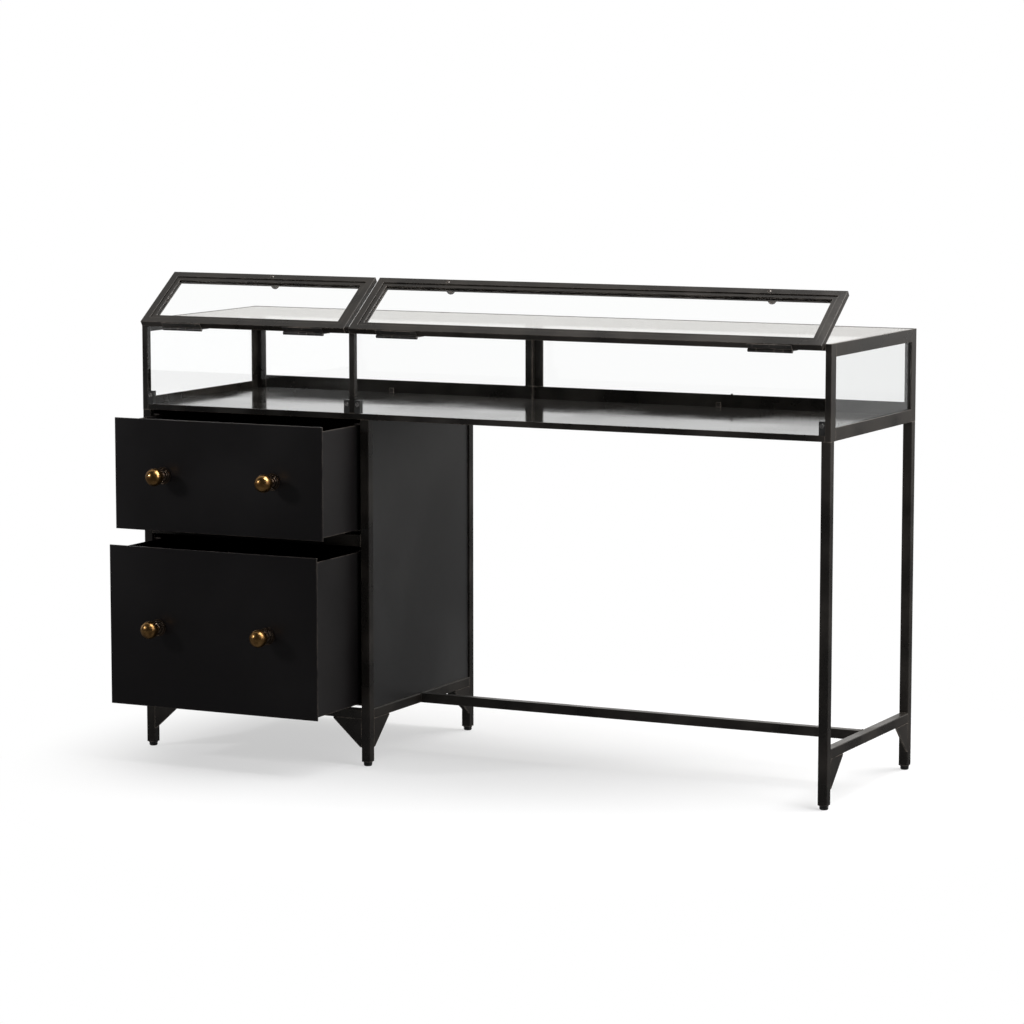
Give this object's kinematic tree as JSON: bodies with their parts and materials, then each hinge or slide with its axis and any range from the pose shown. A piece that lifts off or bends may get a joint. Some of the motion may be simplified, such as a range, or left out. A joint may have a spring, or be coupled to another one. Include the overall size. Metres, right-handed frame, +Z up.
{
  "type": "display case desk",
  "caption": "Long metal desk whose glazed top is a shallow display case with hinged front flaps, over a pedestal of pull-out drawers and open knee space.",
  "frame": {"origin": "on the floor, under the middle of the space that the desk takes with its drawers pulled out and its flaps up, as it stands at rest", "axes": "+X along the desk from the drawer pedestal to the open end, +Y from front to back, +Z up"},
  "size_m": [1.5, 0.682, 0.9724],
  "materials": {
    "frame_steel": "satin black lacquer over bare steel, with faint brown wear along the edges",
    "panel_sheet": "satin black sheet",
    "drawer_front": "smooth satin black sheet",
    "drawer_sheet": "satin black sheet",
    "deck_sheet": "polished dark lacquer that mirrors its surroundings",
    "glass": "clear float glass",
    "aged_brass": "aged and burnished",
    "dark_bronze": "dark bronze",
    "hinge_steel": "satin black",
    "steel_fixings": "dull zinc",
    "glide_plastic": "matt black",
    "catch_plastic": "matt black",
    "magnet": "nickel"
  },
  "bodies": {
    "frame": {"cabinet_back_panel": "panel_sheet", "cabinet_front_bottom_rail": "frame_steel", "cabinet_left_panel": "panel_sheet", "cabinet_mid_rail": "frame_steel", "cabinet_rear_bottom_rail": "frame_steel", "cabinet_right_panel": "panel_sheet", "cabinet_side_bottom_rails": "frame_steel", "case_front_corner_posts": "frame_steel", "case_front_middle_post": "frame_steel", "case_rear_corner_posts": "frame_steel", "case_rear_middle_post": "frame_steel", "case_top_front_rail": "frame_steel", "case_top_rear_rail": "frame_steel", "case_top_side_rails": "frame_steel", "catch_blocks": "catch_plastic", "catch_magnets": "magnet", "deck_front_rail": "frame_steel", "deck_rear_rail": "frame_steel", "deck_side_rails": "frame_steel", "deck_tray": "deck_sheet", "drawer_kickers": "drawer_sheet", "drawer_runners": "drawer_sheet", "end_glass": "glass", "end_stretcher": "frame_steel", "glazing_clips": "frame_steel", "hinge_fixed_leaves": "hinge_steel", "hinge_pins": "steel_fixings", "leg_cabinet_front": "frame_steel", "leg_cabinet_rear": "frame_steel", "leg_front_left": "frame_steel", "leg_front_right": "frame_steel", "leg_glides": "glide_plastic", "leg_gussets": "frame_steel", "leg_rear_left": "frame_steel", "leg_rear_right": "frame_steel", "long_stretcher": "frame_steel", "rear_glass": "glass", "top_glass": "glass"},
    "left_flap": {"left_flap_bead": "frame_steel", "left_flap_frame": "frame_steel", "left_flap_glass": "glass", "left_flap_hinge_leaves": "hinge_steel", "left_flap_knob_screws": "steel_fixings", "left_flap_knobs": "dark_bronze"},
    "right_flap": {"right_flap_bead": "frame_steel", "right_flap_frame": "frame_steel", "right_flap_glass": "glass", "right_flap_hinge_leaves": "hinge_steel", "right_flap_knob_screws": "steel_fixings", "right_flap_knobs": "dark_bronze"},
    "upper_drawer": {"upper_drawer_box": "drawer_sheet", "upper_drawer_front": "drawer_front", "upper_drawer_knobs": "aged_brass", "upper_drawer_rosettes": "dark_bronze", "upper_drawer_screws": "steel_fixings"},
    "lower_drawer": {"lower_drawer_box": "drawer_sheet", "lower_drawer_front": "drawer_front", "lower_drawer_knobs": "aged_brass", "lower_drawer_rosettes": "dark_bronze", "lower_drawer_screws": "steel_fixings"}
  },
  "joints": [
    {"name": "left_flap_hinge", "type": "hinge", "parent": "frame", "child": "left_flap", "pos_m": [0, -0.1353, 0.865], "axis": [-1, 0, 0], "range_deg": [-234.9, 0]},
    {"name": "right_flap_hinge", "type": "hinge", "parent": "frame", "child": "right_flap", "pos_m": [0, -0.1353, 0.865], "axis": [-1, 0, 0], "range_deg": [-234.9, 0]},
    {"name": "upper_drawer_slide", "type": "slide", "parent": "frame", "child": "upper_drawer", "axis": [0, -1, 0], "range_m": [-0.145, 0.145]},
    {"name": "lower_drawer_slide", "type": "slide", "parent": "frame", "child": "lower_drawer", "axis": [0, -1, 0], "range_m": [-0.17, 0.12]}
  ]
}
